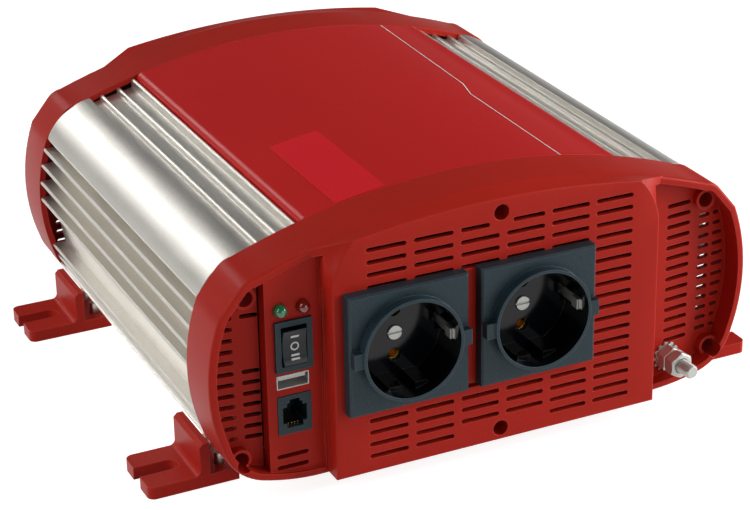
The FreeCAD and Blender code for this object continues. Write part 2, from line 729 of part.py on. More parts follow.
# ---------------------------------------------------------------- sockets
def socket(side):
    """A square plate with a raised collar round a plug recess, closed at the back."""
    x = "socket_%s_x" % side
    name = side + "_socket"
    start, length = span("front", "-plate_proud", "0")
    plate = box(name + "_plate", x + " - plate / 2", start, "socket_z - plate / 2", "plate", length, "plate")
    edge = doc.addObject("Part::Chamfer", name + "_plate_edge")
    edge.Base = plate
    doc.recompute()
    front = value(start)
    edge.Edges = [
        (index, 0.8, 0.8)
        for index, line in enumerate(plate.Shape.Edges, start=1)
        if abs(line.CenterOfMass.y - front) < 0.01
    ]
    start, length = span("front", "-collar_proud", "cup_back")
    barrel = rod(name + "_barrel", "y", x, start, "socket_z", "collar_radius", length)
    start, length = span("front", "-collar_proud + 0.6", "0")
    lug = box(name + "_lug", x + " - plate / 2 + 0.4", start, "socket_z - 3.2", "plate - 0.8", length, "6.4")
    start, length = span("front", "-collar_proud - 1", "cup_floor")
    recess = rod(name + "_recess", "y", x, start, "socket_z", "cup_radius", length)
    start, length = span("front", "guide_station", "cup_floor + 1")
    guides = []
    across = "guide_reach - guide_gap"
    high = "cup_radius - guide_chord"
    for over in ("-guide_reach", "guide_gap"):
        for rise in ("guide_chord", "-cup_radius"):
            label = "%s_guide_%d" % (name, len(guides))
            low = ("%s + %s" % (x, over), "socket_z + (%s)" % rise)
            guides.append(box(label, low[0], start, low[1], across, length, high))
    tools = [cut(name + "_recess_guided", recess, guides)]
    for index, sign in enumerate(("-", "+")):
        z = "socket_z %s pin_offset" % sign
        start, length = span("front", "cup_floor - 1", "cup_floor + 2")
        tools.append(rod("%s_pin_%d" % (name, index), "y", x, start, z, "pin_hole", length))
        start, length = span("front", "cup_floor + 1.5", "cup_back - 1.5")
        label = "%s_sleeve_room_%d" % (name, index)
        tools.append(rod(label, "y", x, start, z, "contact_radius + 0.2", length))
        start, length = span("front", "-4.6", "cup_floor + 6")
        low = x + (" - cup_radius - 0.9" if sign == "-" else " + cup_radius - 2.6")
        label = "%s_clip_room_%d" % (name, index)
        tools.append(box(label, low, start, "socket_z - 2.8", "3.5", length, "5.6"))
    start, length = span("front", "cup_floor - 1", "cup_floor + 6")
    tools.append(rod(name + "_screw_room", "y", x, start, "socket_z", "1.6", length))
    start, length = span("front", "cup_floor - 1", "cup_floor + 1.2")
    tools.append(rod(name + "_screw_seat", "y", x, start, "socket_z", "3.1", length))
    body = fuse(name + "_solid", [edge, barrel, lug])
    keep(cut(name + "_body", body, [fuse(name + "_holes", tools)]), name + "_housing")


def socket_fittings(side):
    """The earth clips, contact sleeves and centre screw of a socket."""
    x = "socket_%s_x" % side
    name = side + "_socket"
    clips = []
    sleeves = []
    for index, sign in enumerate(("-", "+")):
        start, length = span("front", "-4.0", "cup_floor + 5.5")
        strip_x = x + (" - cup_radius - 0.6" if sign == "-" else " + cup_radius - 0.2")
        label = "%s_clip_strip_%d" % (name, index)
        strip = box(label, strip_x, start, "socket_z - 2.2", "0.8", length, "4.4")
        start, length = span("front", "-3.0", "1.5")
        nose_x = x + (" - cup_radius + 0.2" if sign == "-" else " + cup_radius - 1.6")
        nose = box("%s_clip_nose_%d" % (name, index), nose_x, start, "socket_z - 2.2", "1.4", length, "4.4")
        clips.append(fuse("%s_clip_%d" % (name, index), [strip, nose]))
        z = "socket_z %s pin_offset" % sign
        start, length = span("front", "cup_floor + 2.2", "cup_back - 1.7")
        tube = rod("%s_sleeve_%d" % (name, index), "y", x, start, z, "contact_radius", length)
        bore = rod("%s_sleeve_bore_%d" % (name, index), "y", x, start + " - 1", z, "2.45", "12")
        sleeves.append(cut("%s_contact_%d" % (name, index), tube, [bore]))
    keep(group(name + "_clips", clips), side + "_earth_clips")
    keep(group(name + "_sleeves", sleeves), side + "_contact_sleeves")


def socket_screws():
    """The slotted screw in the middle of each socket's floor."""
    screws = []
    for side in ("left", "right"):
        x = "socket_%s_x" % side
        start, length = span("front", "cup_floor - 0.8", "cup_floor + 1.1")
        head = rod(side + "_middle_head", "y", x, start, "socket_z", "2.9", length)
        start, length = span("front", "cup_floor + 1", "cup_floor + 5.5")
        shank = rod(side + "_middle_shank", "y", x, start, "socket_z", "1.5", length)
        start, length = span("front", "cup_floor - 1", "cup_floor")
        notch = box(side + "_middle_notch", x + " - 3.5", start, "socket_z - 0.4", "7", length, "0.8")
        screws.append(cut(side + "_middle_screw", fuse(side + "_middle", [head, shank]), [notch]))
    return screws


# ---------------------------------------------------------------- switch panel fittings
def rocker_switch():
    """A snap-in switch body and the rocker that tips in it."""
    start, length = span("front", "switch_plane - 1.6", "switch_plane")
    corner = ("switch_x - bezel_width / 2", "switch_z - bezel_height / 2")
    flange = box("bezel_flange", corner[0], start, corner[1], "bezel_width", length, "bezel_height")
    start, length = span("front", "switch_plane - 0.5", "switch_plane + 17")
    block = box("bezel_block", "switch_x - 6.5", start, "switch_z - 9.5", "13", length, "19")
    start, length = span("front", "switch_plane - 3", "switch_plane + 11.5")
    room = box("bezel_room", "switch_x - 5.2", start, "switch_z - 8.2", "10.4", length, "16.4")
    start, _ = span("front", "pivot_station", "0")
    pivot = rod("bezel_pivot", "x", "switch_x - 6.1", start, "switch_z", "pivot_radius + running_gap", "12.2")
    holes = fuse("bezel_holes", [room, pivot])
    keep(cut("bezel_body", fuse("bezel_whole", [flange, block]), [holes]), "switch_housing")

    front = value(FACE)
    high = S.rocker_height / 2
    outline = [
        (front + 6.2, S.switch_z - high),
        (front + 6.2, S.switch_z + high, front + 7.7, S.switch_z),
        (front + 12.0, S.switch_z + 6.4),
        (front + 12.0, S.switch_z - 6.4, front + 18.6, S.switch_z),
    ]
    paddle = prism("rocker_paddle", "side", [outline], "switch_x - rocker_width / 2", "rocker_width")
    pins = rod("rocker_pins", "x", "switch_x - 5.9", start, "switch_z", "pivot_radius", "11.8")
    keep(fuse("rocker_body", [paddle, pins]), "rocker")

    blades = []
    for row in range(3):
        start, length = span("front", "switch_plane + 17", "switch_plane + 25")
        z = "switch_z + %d" % (6 * (row - 1))
        blades.append(box("switch_blade_%d" % row, "switch_x - 2.4", start, z, "4.8", length, "0.8"))
    keep(group("switch_blades", blades), "switch_terminals")


def lamp(colour):
    """A five millimetre lamp: a domed body turned about its own axis, with a flange behind the panel."""
    body = doc.addObject("PartDesign::Body", colour + "_lamp_body")
    sketch = body.newObject("Sketcher::SketchObject", colour + "_lamp_profile")
    base = [feature for feature in body.Origin.OriginFeatures if feature.Role == "XZ_Plane"]
    sketch.AttachmentSupport = [(base[0], "")]
    sketch.MapMode = "FlatFace"
    radius = S.lamp_radius
    points = [(0, 0), (2.9, 0), (2.9, 1.0), (radius, 1.0), (radius, 5.2)]
    corners_3d = [FreeCAD.Vector(x, z, 0) for x, z in points]
    for first, second in zip(corners_3d, corners_3d[1:]):
        sketch.addGeometry(Part.LineSegment(first, second), False)
    top = FreeCAD.Vector(0, 5.2 + radius, 0)
    bend = FreeCAD.Vector(radius * math.sqrt(0.5), 5.2 + radius * math.sqrt(0.5), 0)
    sketch.addGeometry(Part.Arc(corners_3d[-1], bend, top), False)
    sketch.addGeometry(Part.LineSegment(top, corners_3d[0]), False)
    turned = body.newObject("PartDesign::Revolution", colour + "_lamp_turned")
    turned.Profile = sketch
    turned.ReferenceAxis = (sketch, ["V_Axis"])
    turned.Angle = 360.0
    body.Tip = turned
    body.Placement.Rotation = FreeCAD.Rotation(FreeCAD.Vector(1, 0, 0), 90)
    start, _ = span("front", "switch_plane + skin + 1.05", "0")
    place(body, colour + "_x", start, "lamp_z")
    keep(body, colour + "_lamp")


def usb_port():
    """A pressed metal shell and the contact tongue inside it."""
    start, length = span("front", "switch_plane - 0.4", "switch_plane + 13.6")
    low = ("usb_x - usb_width / 2", "usb_z - usb_height / 2")
    shell = box("usb_outside", low[0], start, low[1], "usb_width", length, "usb_height")
    start, length = span("front", "switch_plane - 1", "switch_plane + 12.8")
    inside = ("usb_width - 0.8", "usb_height - 0.8")
    room = box("usb_inside", low[0] + " + 0.4", start, low[1] + " + 0.4", inside[0], length, inside[1])
    keep(cut("usb_body", shell, [room]), "usb_shell")
    start, length = span("front", "switch_plane + 0.8", "switch_plane + 12.8")
    keep(box("usb_tongue_body", "usb_x - 5.55", start, "usb_z + 0.3", "11.1", length, "1.84"), "usb_tongue")


def data_jack():
    """A modular jack with a stepped opening and four spring contacts."""
    start, length = span("front", "switch_plane - 0.5", "switch_plane + 15")
    low = ("jack_x - jack_width / 2", "jack_z - jack_height / 2")
    block = box("jack_block", low[0], start, low[1], "jack_width", length, "jack_height")
    x = S.jack_x
    z = S.jack_z
    opening = [
        (x - 2.0, z + 6.4), (x - 2.0, z + 5.0), (x - 3.1, z + 5.0), (x - 3.1, z + 3.4), (x - 4.9, z + 3.4),
        (x - 4.9, z - 3.4), (x - 3.3, z - 3.4), (x - 3.3, z - 5.4), (x + 3.3, z - 5.4), (x + 3.3, z - 3.4),
        (x + 4.9, z - 3.4), (x + 4.9, z + 3.4), (x + 3.1, z + 3.4), (x + 3.1, z + 5.0), (x + 2.0, z + 5.0),
        (x + 2.0, z + 6.4),
    ]
    start, length = span("front", "switch_plane - 1", "switch_plane + 12.5")
    room = prism("jack_room", "front", [opening], start, length)
    keep(cut("jack_body", block, [room]), "data_jack")
    contacts = []
    for index in range(4):
        start, length = span("front", "switch_plane + 2.0", "switch_plane + 12.5")
        across = "jack_x + %.2f" % (1.27 * (index - 1.5) - 0.25)
        contacts.append(box("jack_contact_%d" % index, across, start, "jack_z - 5.4", "0.5", length, "0.7"))
    keep(group("jack_wires", contacts), "jack_contacts")


def control_board():
    """The upright circuit board behind the switch panel."""
    start, length = span("front", "29.2", "30.8")
    board = box("control_board_plate", "-94.5", start, "24", "21", length, "64")
    window = box("control_board_window", "switch_x - 3.5", start, "switch_z - 8", "7", length, "16")
    keep(cut("control_board_body", board, [window]), "control_board")


def earth_stud():
    """The earth stud with its star washer and two nuts, square to the bay floor."""
    shank = rod("earth_shank", "y", "0", "0", "0", "earth_radius - shank_relief", "earth_reach + 9")
    end = rod("earth_end", "y", "0", "0", "0", "earth_radius", "earth_reach - nut_face")
    studded = [set_square(shank, "-earth_reach + 1"), set_square(end, "-earth_reach")]
    keep(fuse("earth_rod", studded), "earth_stud")
    teeth = []
    for index in range(12):
        tooth = box("earth_tooth_%d" % index, "0", "0", "0", "1.5", "0.8", "6.4")
        angle = FreeCAD.Rotation(FreeCAD.Vector(0, 1, 0), 30 * index)
        tooth.Placement.Rotation = angle
        set_square(tooth, "-1.0")
        teeth.append(tooth)
    disc = set_square(rod("earth_washer_disc", "y", "0", "0", "0", "5.0", "0.8"), "-1.0")
    hole = set_square(rod("earth_washer_hole", "y", "0", "0", "0", "earth_radius + 0.3", "4"), "-2.5")
    keep(cut("earth_washer", fuse("earth_star", [disc] + teeth), [hole]), "earth_star_washer")
    nuts = []
    for index, depth in enumerate(("-6.2", "-11.6")):
        nut = set_square(hexagon("earth_nut_%d" % index, "y", "0", "0", "0", "10", "5"), depth)
        bore = rod("earth_nut_hole_%d" % index, "y", "0", "0", "0", "earth_radius + 0.05", "7")
        nuts.append(cut("earth_nut_body_%d" % index, nut, [set_square(bore, depth + " - 1")]))
    keep(group("earth_nut_pair", nuts), "earth_nuts")


# ---------------------------------------------------------------- rear fittings
def fan():
    """The fan: a square frame, a rotor with seven blades on a steel shaft, a wire guard and its screws."""
    start, length = span("rear", "skin + 0.5", "skin + 0.5 + fan_depth")
    half = "fan_size / 2"
    block = box("fan_block", "-" + half, start, "fan_z - " + half, "fan_size", length, "fan_size")
    bore_start, bore_length = span("rear", "skin", "skin + 1 + fan_depth")
    tools = [rod("fan_bore_hole", "y", "0", bore_start, "fan_z", "fan_bore", bore_length)]
    for index, (dx, dz) in enumerate(corners("fan_bolt")):
        label = "fan_frame_hole_%d" % index
        tools.append(rod(label, "y", dx, bore_start, "fan_z + " + dz, "1.6", bore_length))
    ring = cut("fan_ring", block, [group("fan_ring_holes", tools)])
    start, length = span("rear", "fan_depth - 0.5", "skin + 0.5 + fan_depth")
    motor = rod("fan_motor_seat", "y", "0", start, "fan_z", "hub_radius", length)
    tube_start, tube_length = span("rear", "10", "fan_depth + 1")
    tube = rod("fan_bearing", "y", "0", tube_start, "fan_z", "4", tube_length)
    arms = []
    for index in range(4):
        arm = box("fan_arm_%d" % index, "0", "0", "0", "fan_bore + 1", length, "3")
        arm.Placement.Rotation = FreeCAD.Rotation(FreeCAD.Vector(0, 1, 0), 45 + 90 * index)
        place(arm, "0", start, "fan_z")
        arms.append(arm)
    frame = fuse("fan_frame_whole", [ring, motor, tube] + arms)
    start = "%s - fan_depth - 2" % REAR
    bore = rod("fan_bearing_bore", "y", "0", start, "fan_z", "shaft_radius + running_gap", "20")
    keep(cut("fan_frame_body", frame, [bore]), "fan_frame")

    start, length = span("rear", "skin + 1.5", "fan_depth - 1.5")
    hub = rod("fan_hub_solid", "y", "0", start, "fan_z", "hub_radius", length)
    inner, depth = span("rear", "6.5", "fan_depth")
    cup = rod("fan_hub_room", "y", "0", inner, "fan_z", "hub_radius - 1.6", depth)
    seat = rod("fan_hub_bore", "y", "0", "%s - 12" % REAR, "fan_z", "shaft_radius", "12")
    blades = []
    for index in range(7):
        blade = box("fan_blade_%d" % index, "0", "0", "0", "1.6", "17", "blade_radius - hub_radius + 1")
        pitch = FreeCAD.Rotation(FreeCAD.Vector(0, 0, 1), 38)
        around = FreeCAD.Rotation(FreeCAD.Vector(0, 1, 0), 360 / 7 * index)
        blade.Placement.Rotation = around.multiply(pitch)
        root = around.multVec(FreeCAD.Vector(5.0, 0, S.hub_radius - 1))
        place(blade, round(root.x, 3), "%s - fan_depth + 3.2" % REAR, "fan_z + %.3f" % root.z)
        blades.append(blade)
    limit = rod("fan_sweep", "y", "0", start, "fan_z", "blade_radius", length)
    swept = common("fan_blades_trimmed", fuse("fan_blades", blades), limit)
    hollow_hub = cut("fan_hub", hub, [fuse("fan_hub_holes", [cup, seat])])
    core = rod("fan_core", "y", "0", start, "fan_z", "hub_radius - 0.5", length)
    rest = cut("fan_blades_clear", swept, [core])
    keep(fuse("fan_rotor_body", [hollow_hub, rest]), "fan_rotor")
    start, length = span("rear", "4.2", "fan_depth")
    keep(rod("fan_shaft_body", "y", "0", start, "fan_z", "shaft_radius", length), "fan_shaft")

    wires = []
    for index, radius in enumerate((9, 16, 23, 30, 37)):
        wire = doc.addObject("Part::Torus", "guard_ring_%d" % index)
        seam_turn = FreeCAD.Rotation(FreeCAD.Vector(0, 1, 0), 17)
        wire.Placement.Rotation = seam_turn.multiply(TURN["y"])
        bind(wire, Radius1=radius, Radius2="wire")
        place(wire, "0", "%s + 2.0" % REAR, "fan_z")
        wires.append(wire)
    for index, lean in enumerate((45, -45)):
        arm = box("guard_arm_%d" % index, "0", "0", "0", "1.8", "1.4", "2 * sqrt(2) * fan_bolt")
        turn = FreeCAD.Rotation(FreeCAD.Vector(0, 1, 0), lean)
        arm.Placement.Rotation = turn
        corner = turn.multVec(FreeCAD.Vector(-0.9, 0, -math.sqrt(2) * S.fan_bolt))
        place(arm, round(corner.x, 4), REAR, "fan_z + (%.4f)" % corner.z)
        wires.append(arm)
    for index, (dx, dz) in enumerate(corners("fan_bolt")):
        wires.append(rod("guard_eye_%d" % index, "y", dx, REAR, "fan_z + " + dz, "3.6", "1.4"))
    start = "%s - 1" % REAR
    holes = [
        rod("guard_hole_%d" % index, "y", dx, start, "fan_z + " + dz, "2.0", "4")
        for index, (dx, dz) in enumerate(corners("fan_bolt"))
    ]
    keep(cut("guard_body", fuse("guard_whole", wires), [group("guard_holes", holes)]), "fan_guard")

    screws = []
    for index, (dx, dz) in enumerate(corners("fan_bolt")):
        z = "fan_z + " + dz
        head = rod("fan_screw_head_%d" % index, "y", dx, "%s + 1.4" % REAR, z, "3.1", "1.6")
        shank = rod("fan_screw_shank_%d" % index, "y", dx, "%s - 12" % REAR, z, "1.5", "13.5")
        screws.append(fuse("fan_screw_%d" % index, [head, shank]))
    keep(group("fan_screw_set", screws), "fan_screws")


def terminals():
    """The two direct current terminals: insulator, stud, nut and washer on each, and the bars behind."""
    nuts = []
    for name, side in (("negative", "-"), ("positive", "")):
        x = side + "terminal_x"
        low = (x + " - terminal_width / 2", "terminal_z - terminal_height / 2")
        start, length = span("rear", "terminal_front + 2", "cap_back - 4")
        block = box(name + "_block", low[0], start, low[1], "terminal_width", length, "terminal_height")
        start, length = span("rear", "terminal_front", "terminal_front + 2.2")
        collar = rod(name + "_collar", "y", x, start, "terminal_z", "terminal_width / 2 - 1", length)
        start, length = span("rear", "terminal_front - 1", "cap_back")
        bore = rod(name + "_bore", "y", x, start, "terminal_z", "terminal_radius + 0.1", length)
        body = fuse(name + "_insulator_solid", [block, collar])
        keep(cut(name + "_insulator_body", body, [bore]), name + "_insulator")
        start, length = span("rear", "terminal_tip + 1", "cap_back + 6")
        shank = rod(name + "_shank", "y", x, start, "terminal_z", "terminal_radius - shank_relief", length)
        start, length = span("rear", "terminal_tip", "terminal_front - 8")
        end = rod(name + "_end", "y", x, start, "terminal_z", "terminal_radius", length)
        keep(fuse(name + "_rod", [shank, end]), name + "_stud")
        hole = "terminal_radius + 0.08"
        start, length = span("rear", "terminal_front - 1.6", "terminal_front")
        washer = rod(name + "_washer", "y", x, start, "terminal_z", "8", length)
        bore = rod(name + "_washer_hole", "y", x, start, "terminal_z", hole, "3")
        nuts.append(cut(name + "_washer_ring", washer, [bore]))
        start, length = span("rear", "terminal_front - 8", "terminal_front - 1.7")
        nut = hexagon(name + "_nut", "y", x, start, "terminal_z", "13", length)
        bore = rod(name + "_nut_hole", "y", x, start, "terminal_z", hole, "9")
        nuts.append(cut(name + "_nut_ring", nut, [bore]))
        start, length = span("rear", "cap_back - 3.8", "cap_back - 1.8")
        high = "terminal_z - board_z + 7"
        strap = box(name + "_strap", x + " - 9", start, "board_z + board_thick", "18", length, high)
        eye = rod(name + "_strap_hole", "y", x, start + " - 1", "terminal_z", "terminal_radius + 0.1", "4")
        foot_start, foot_length = span("rear", "cap_back - 3.8", "body_depth - board_end + 14")
        tail = box(name + "_tail", x + " - 9", foot_start, "board_z + board_thick", "18", foot_length, "2")
        whole = fuse(name + "_bar_solid", [strap, tail])
        keep(cut(name + "_bar_body", whole, [eye]), name + "_busbar")
    keep(group("terminal_nut_set", nuts), "terminal_nuts")


# ---------------------------------------------------------------- inside
def board_parts():
    """The main board on its posts, and what stands on it."""
    start = "%s + board_start" % FACE
    length = "board_end - board_start"
    plate = box("board_plate", "-board_half", start, "board_z", "2 * board_half", length, "board_thick")
    screws = []
    posts = []
    holes = []
    for index, (x, station) in enumerate([(x, y) for x in (-60, 60) for y in (45, 122, 198)]):
        y = "%s + %d" % (FACE, station)
        floor = "bottom_z + base_wall"
        post = rod("post_%d" % index, "z", x, y, floor, "3.2", "board_z - bottom_z - base_wall")
        bore = rod("post_bore_%d" % index, "z", x, y, "board_z - 7", "1.3", "8")
        posts.append(cut("post_body_%d" % index, post, [bore]))
        holes.append(rod("board_hole_%d" % index, "z", x, y, "board_z - 1", "1.7", "board_thick + 2"))
        head = rod("board_screw_head_%d" % index, "z", x, y, "board_z + board_thick", "2.8", "1.8")
        shank = rod("board_screw_shank_%d" % index, "z", x, y, "board_z - 5", "1.25", "board_thick + 5.5")
        screws.append(fuse("board_screw_%d" % index, [head, shank]))
    keep(cut("board_body", plate, [group("board_holes", holes)]), "main_board")
    keep(group("post_set", posts), "board_posts")
    keep(group("board_screw_set", screws), "board_screws")

    top = "board_z + board_thick"
    cores = []
    coils = []
    for index, x in enumerate((-48, 0, 48)):
        y = "%s + 128" % FACE
        outside = box("core_block_%d" % index, x - 17, y, top, "34", "40", "34")
        for number, window in enumerate((x - 12, x + 5)):
            label = "core_window_%d_%d" % (index, number)
            window_box = box(label, window, y + " - 1", top + " + 7", "7", "42", "20")
            outside = cut("core_%d_%d" % (index, number), outside, [window_box])
        cores.append(outside)
        coil = box("coil_block_%d" % index, x - 11.6, y + " - 5", top + " + 7.4", "23.2", "50", "19.2")
        limb = box("coil_limb_%d" % index, x - 5.2, y + " - 6", top, "10.4", "52", "34")
        coils.append(cut("coil_%d" % index, coil, [limb]))
    keep(group("core_set", cores), "transformer_cores")
    keep(group("coil_set", coils), "transformer_coils")

    cans = []
    for index in range(5):
        cans.append(rod("input_can_%d" % index, "z", -50 + 25 * index, "%s + 190" % FACE, top, "8", "30"))
    keep(group("input_can_set", cans), "input_capacitors")
    cans = []
    for index, x in enumerate((-30, 30)):
        cans.append(rod("bus_can_%d" % index, "z", x, "%s + 106" % FACE, top, "12.5", "45"))
    keep(group("bus_can_set", cans), "bus_capacitors")

    ring = doc.addObject("Part::Torus", "choke_ring")
    bind(ring, Radius1="13", Radius2="6")
    place(ring, "0", "%s + 72" % FACE, top + " + 6.2")
    keep(ring, "output_choke")

    fuses = []
    for index in range(4):
        fuses.append(box("fuse_%d" % index, -80 + 5.5 * index, "%s + 176" % FACE, top, "4", "10", "17"))
    keep(group("fuse_set", fuses), "blade_fuses")

    for name, side in (("left", -1), ("right", 1)):
        start = "%s + 48" % FACE
        x = side * 91.5 - 2
        bar = box(name + "_bar", x, start, top, "4", "140", "34")
        keep(bar, name + "_heat_bar")
        chips = []
        for index in range(8):
            y = "%s + %d" % (FACE, 54 + 17 * index)
            label = "%s_chip_%d" % (name, index)
            chips.append(box(label, side * 86.95 - 2.4, y, top + " + 4", "4.8", "10", "19"))
        keep(group(name + "_chip_set", chips), name + "_transistors")
    lining = box("lining_body", "-66", "%s + 40" % FACE, "bottom_z + base_wall", "132", "160", "0.8")
    holes = []
    for index, (x, station) in enumerate([(x, y) for x in (-60, 60) for y in (45, 122, 198)]):
        y = "%s + %d" % (FACE, station)
        holes.append(rod("lining_hole_%d" % index, "z", x, y, "bottom_z", "3.6", "6"))
    trough = box("lining_trough", "-4", "%s + 30" % FACE, "bottom_z", "8", "180", "6")
    keep(cut("lining_cut", lining, [group("lining_holes", holes + [trough])]), "insulating_sheet")


def cap_screws(end):
    """The screws that pull a cap on to the profiles."""
    screws = []
    for index, (x, z, _) in enumerate(boss_places(end)):
        start, length = span(end, "head_depth - 3.0", "head_depth")
        head = rod("%s_cap_screw_head_%d" % (end, index), "y", x, start, z, "2.9", length)
        start, length = span(end, "head_depth - 0.5", "cap_back + 12")
        shank = rod("%s_cap_screw_shank_%d" % (end, index), "y", x, start, z, "1.6", length)
        start, length = span(end, "head_depth - 3.2", "head_depth - 1.6")
        across = box("%s_cap_cross_a_%d" % (end, index), x - 1.8, start, z - 0.4, "3.6", length, "0.8")
        upright = box("%s_cap_cross_b_%d" % (end, index), x - 0.4, start, z - 1.8, "0.8", length, "3.6")
        solid = fuse("%s_cap_screw_%d" % (end, index), [head, shank])
        cross = fuse("%s_cap_cross_%d" % (end, index), [across, upright])
        screws.append(cut("%s_cap_screw_body_%d" % (end, index), solid, [cross]))
    keep(group(end + "_cap_screw_set", screws), end + "_cap_screws")


def build():
    """Make every piece."""
    cap("front", front_openings())
    cap("rear", rear_openings())
    side_extrusion("left_side_profile", -1)
    side_extrusion("right_side_profile", 1)
    covers()
    for name, side, station in foot_places():
        foot(name, side, station)
    keep(group("foot_screw_set", foot_screws()), "foot_screws")
    for side in ("left", "right"):
        socket(side)
        socket_fittings(side)
    keep(group("socket_screw_set", socket_screws()), "socket_screws")
    rocker_switch()
    lamp("green")
    lamp("red")
    usb_port()
    data_jack()
    control_board()
    earth_stud()
    fan()
    terminals()
    board_parts()
    cap_screws("front")
    cap_screws("rear")


def write():
    """Check every object and every piece, then write one file for each piece."""
    doc.recompute()
    failed = [thing.Name for thing in doc.Objects if "Invalid" in thing.State or "Error" in thing.State]
    for piece in pieces:
        if piece.Shape.isNull() or not piece.Shape.isValid() or not piece.Shape.Solids:
            failed.append(piece.Label)
    if failed:
        raise SystemExit("these failed: " + ", ".join(sorted(set(failed))))
    os.makedirs("parts", exist_ok=True)
    for piece in pieces:
        piece.Shape.exportStep(os.path.join("parts", piece.Label + ".step"))
        solids = piece.Shape.Solids
        print(piece.Label, len(solids), "solids", round(sum(solid.Volume for solid in solids)), "mm3")


build()
write()
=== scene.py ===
"""The looks of a power inverter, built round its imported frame.

Metres, +Z up. X runs across the front, Y from front to back, and the feet stand on Z = 0. Places and
sizes come from the frame's own nodes; a length written as a number is a finish, such as the radius
of a moulded edge, a size of thread or nut, or the reach of something printed.
"""
import math

import bmesh
import bpy
import numpy as np
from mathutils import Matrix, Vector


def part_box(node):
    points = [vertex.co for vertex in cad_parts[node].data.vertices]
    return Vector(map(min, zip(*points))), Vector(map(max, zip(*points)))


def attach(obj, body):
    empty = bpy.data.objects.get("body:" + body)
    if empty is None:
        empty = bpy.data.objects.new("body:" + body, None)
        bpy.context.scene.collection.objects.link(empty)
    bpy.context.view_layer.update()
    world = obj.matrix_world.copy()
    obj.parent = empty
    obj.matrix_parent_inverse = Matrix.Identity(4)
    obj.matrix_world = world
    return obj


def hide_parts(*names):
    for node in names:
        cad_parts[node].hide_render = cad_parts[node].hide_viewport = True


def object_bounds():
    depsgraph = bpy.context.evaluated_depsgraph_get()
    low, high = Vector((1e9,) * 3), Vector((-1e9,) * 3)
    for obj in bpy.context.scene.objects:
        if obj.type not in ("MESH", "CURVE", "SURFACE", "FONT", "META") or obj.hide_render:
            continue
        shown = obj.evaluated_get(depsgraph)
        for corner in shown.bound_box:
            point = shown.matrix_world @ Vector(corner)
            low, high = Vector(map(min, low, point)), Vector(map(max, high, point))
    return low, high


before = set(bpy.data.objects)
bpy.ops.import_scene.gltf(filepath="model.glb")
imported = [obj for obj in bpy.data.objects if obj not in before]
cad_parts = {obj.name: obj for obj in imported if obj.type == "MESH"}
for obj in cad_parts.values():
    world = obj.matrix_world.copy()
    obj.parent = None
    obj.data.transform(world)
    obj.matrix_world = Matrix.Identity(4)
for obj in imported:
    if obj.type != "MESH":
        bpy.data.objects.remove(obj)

CAD_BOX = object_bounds()
MM = 0.001
HOUSING = "housing"
ROCKER = "switch_rocker"
MOULDED_EDGE = 0.35 * MM
CURVE_ANGLE = math.radians(28)
FILM = 0.05 * MM
PROUD = 0.04 * MM
COVER_RADIUS = 285.0 * MM
COVER_TOP = 112.0 * MM
HOLLOW_RADIUS = 18.03 * MM
HOLLOW_BOTTOM = 7.7 * MM
FACE_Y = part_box("front_cap")[0].y


# ---------------------------------------------------------------- shader helpers
def add(tree, kind, inputs=None, **settings):
    """A node whose inputs are numbers, colours or other nodes' sockets."""
    node = tree.nodes.new(kind)
    for name, setting in settings.items():
        setattr(node, name, setting)
    for key, value in (inputs or {}).items():
        if isinstance(value, bpy.types.NodeSocket):
            tree.links.new(value, node.inputs[key])
        else:
            node.inputs[key].default_value = value
    return node


def math_node(tree, operation, first, second=0.0, clamp=False):
    """The result of one arithmetic step."""
    node = add(tree, "ShaderNodeMath", {0: first, 1: second}, operation=operation, use_clamp=clamp)
    return node.outputs[0]


def blend_colours(tree, share, first, second):
    """A colour between two others, by a share from 0 to 1."""
    node = add(tree, "ShaderNodeMix", data_type="RGBA")
    for socket, value in zip((node.inputs[0], node.inputs[6], node.inputs[7]), (share, first, second)):
        if isinstance(value, bpy.types.NodeSocket):
            tree.links.new(value, socket)
        else:
            socket.default_value = value
    return node.outputs[2]


def ramp(tree, value, low, high):
    """Stretch what lies between two levels to the range from 0 to 1."""
    node = add(tree, "ShaderNodeMapRange", {"Value": value, "From Min": low, "From Max": high}, clamp=True)
    return node.outputs["Result"]


def shared_effect(name, inputs, outputs):
    """An empty node group with named inputs (name: starting value) and named outputs (name: kind)."""
    tree = bpy.data.node_groups.new(name, "ShaderNodeTree")
    for label, start in inputs.items():
        socket = tree.interface.new_socket(name=label, in_out="INPUT", socket_type="NodeSocketFloat")
        socket.default_value = start
    for label, kind in outputs.items():
        tree.interface.new_socket(name=label, in_out="OUTPUT", socket_type=kind)
    return tree, tree.nodes.new("NodeGroupInput"), tree.nodes.new("NodeGroupOutput")


def grain_effect():
    """Moulding or blasting grain: fine noise over small cells, as a normal and as a tone."""
    tree, given, result = shared_effect(
        "surface_grain",
        {"Grains per metre": 2500.0, "Depth": 0.2, "Cells": 0.5, "Edge radius": 0.0003},
        {"Normal": "NodeSocketVector", "Tone": "NodeSocketFloat"},
    )
    place = add(tree, "ShaderNodeTexCoord").outputs["Object"]
    size = given.outputs["Grains per metre"]
    noise = add(tree, "ShaderNodeTexNoise", {"Vector": place, "Scale": size, "Detail": 2.0, "Roughness": 0.6})
    cells = add(tree, "ShaderNodeTexVoronoi", {"Vector": place, "Scale": size})
    mixed = add(
        tree,
        "ShaderNodeMix",
        {0: given.outputs["Cells"], 2: noise.outputs["Fac"], 3: cells.outputs["Distance"]},
    )
    rounded = add(tree, "ShaderNodeBevel", {"Radius": given.outputs["Edge radius"]}, samples=4)
    bump = add(
        tree,
        "ShaderNodeBump",
        {
            "Strength": given.outputs["Depth"],
            "Distance": 0.0002,
            "Height": mixed.outputs[0],
            "Normal": rounded.outputs[0],
        },
    )
    tree.links.new(bump.outputs["Normal"], result.inputs["Normal"])
    tree.links.new(mixed.outputs[0], result.inputs["Tone"])
    return tree


